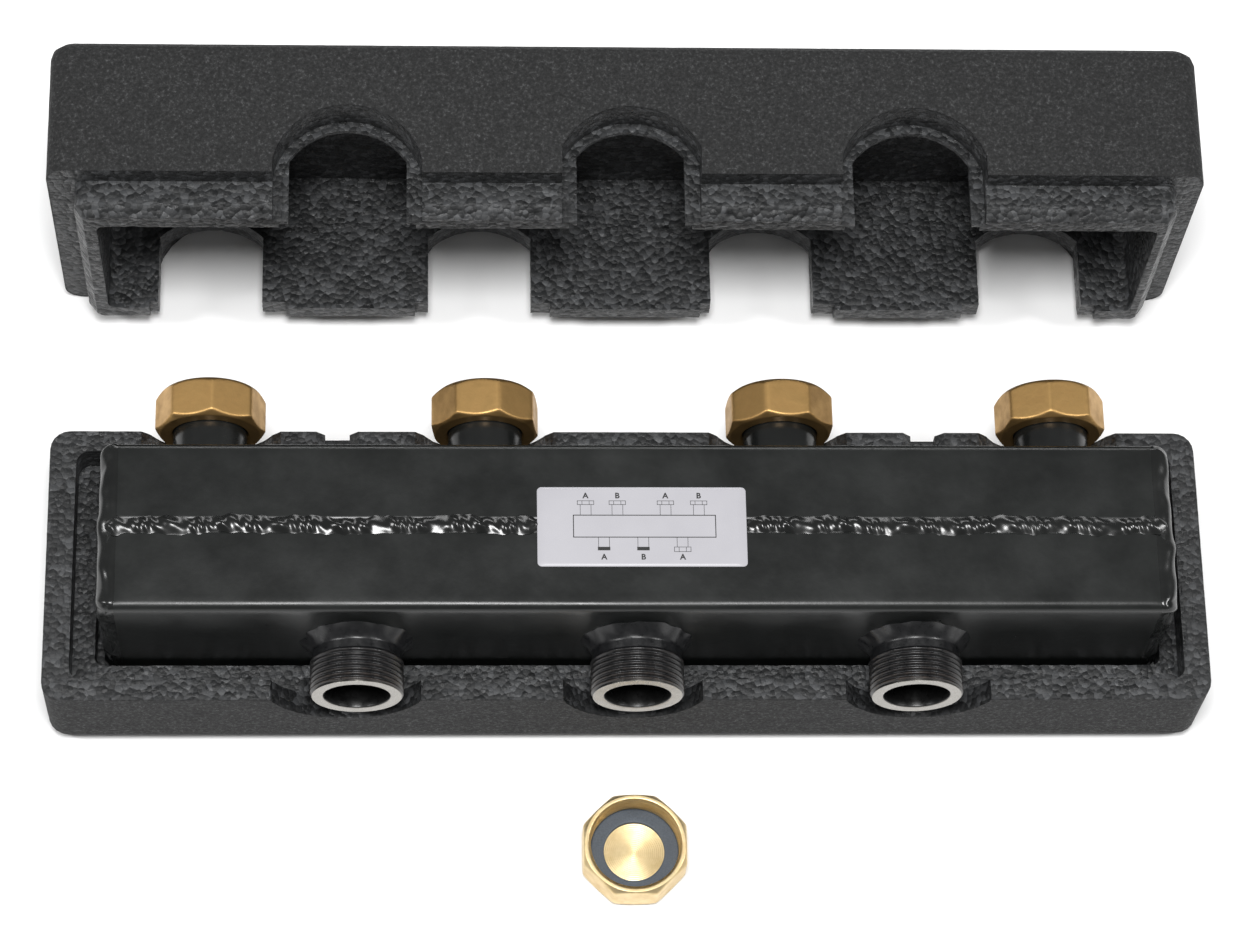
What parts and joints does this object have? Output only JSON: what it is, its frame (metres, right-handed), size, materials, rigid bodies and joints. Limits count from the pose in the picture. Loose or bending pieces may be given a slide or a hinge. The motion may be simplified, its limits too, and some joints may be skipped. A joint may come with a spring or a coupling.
{
  "type": "heating circuit distribution header",
  "caption": "Black steel box header in a two-part foam shell, with loose brass union nuts above, threaded nipples below and a brass blanking cap.",
  "frame": {"origin": "centre of the rear shell's back face, below the middle lower port and between the upper ports", "axes": "+X along the header to the right as hung, +Y up the wall (upper ports), +Z out of the wall"},
  "size_m": [0.5255, 0.3714, 0.131],
  "materials": {
    "foam": "moulded expanded-bead foam, near black, matt",
    "box_paint": "satin black paint",
    "nipple_steel": "black-coated thread, bare steel on the end ring",
    "nut_brass": "forged and machined, dull",
    "cap_brass": "machined, bright",
    "gasket": "flat fibre seal, blue-grey, matt",
    "label": "white film label with thin black lines"
  },
  "bodies": {
    "rear_shell": {"rear_shell": "foam"},
    "header": {"upper_channel": "box_paint", "lower_channel": "box_paint", "divider_plate": "box_paint", "left_end_plate": "box_paint", "right_end_plate": "box_paint", "pass_tube_1": "box_paint", "pass_tube_2": "box_paint", "pass_tube_3": "box_paint", "pass_tube_4": "box_paint", "front_weld_left": "box_paint", "front_weld_right": "box_paint", "back_weld": "box_paint", "upper_nipple_1": "box_paint", "upper_nipple_2": "box_paint", "upper_nipple_3": "box_paint", "upper_nipple_4": "box_paint", "upper_gasket_1": "gasket", "upper_gasket_2": "gasket", "upper_gasket_3": "gasket", "upper_gasket_4": "gasket", "lower_nipple_1": "nipple_steel", "lower_nipple_2": "nipple_steel", "lower_nipple_3": "nipple_steel", "label": "label"},
    "front_shell": {"front_shell": "foam"},
    "blanking_cap": {"blanking_cap": "cap_brass", "cap_gasket": "gasket"},
    "union_nut_1": {"union_nut_1": "nut_brass"},
    "union_nut_2": {"union_nut_2": "nut_brass"},
    "union_nut_3": {"union_nut_3": "nut_brass"},
    "union_nut_4": {"union_nut_4": "nut_brass"}
  },
  "joints": [
    {"name": "header_lift", "type": "slide", "parent": "rear_shell", "child": "header", "axis": [0, 0, 1], "range_m": [0, 0.08]},
    {"name": "front_shell_swing", "type": "hinge", "parent": "rear_shell", "child": "front_shell", "pos_m": [0, 0.0465, 0.0195], "axis": [1, 0, 0], "range_deg": [0, 90]},
    {"name": "cap_swing", "type": "hinge", "parent": "rear_shell", "child": "blanking_cap", "pos_m": [0, -0.0735, 0.0125], "axis": [1, 0, 0], "range_deg": [-90, 0]},
    {"name": "union_nut_1_turn", "type": "hinge", "parent": "header", "child": "union_nut_1", "pos_m": [-0.1925, 0.07, 0.06], "axis": [0, 1, 0], "continuous": true},
    {"name": "union_nut_2_turn", "type": "hinge", "parent": "header", "child": "union_nut_2", "pos_m": [-0.0675, 0.07, 0.06], "axis": [0, 1, 0], "continuous": true},
    {"name": "union_nut_3_turn", "type": "hinge", "parent": "header", "child": "union_nut_3", "pos_m": [0.0675, 0.07, 0.06], "axis": [0, 1, 0], "continuous": true},
    {"name": "union_nut_4_turn", "type": "hinge", "parent": "header", "child": "union_nut_4", "pos_m": [0.1925, 0.07, 0.06], "axis": [0, 1, 0], "continuous": true}
  ]
}
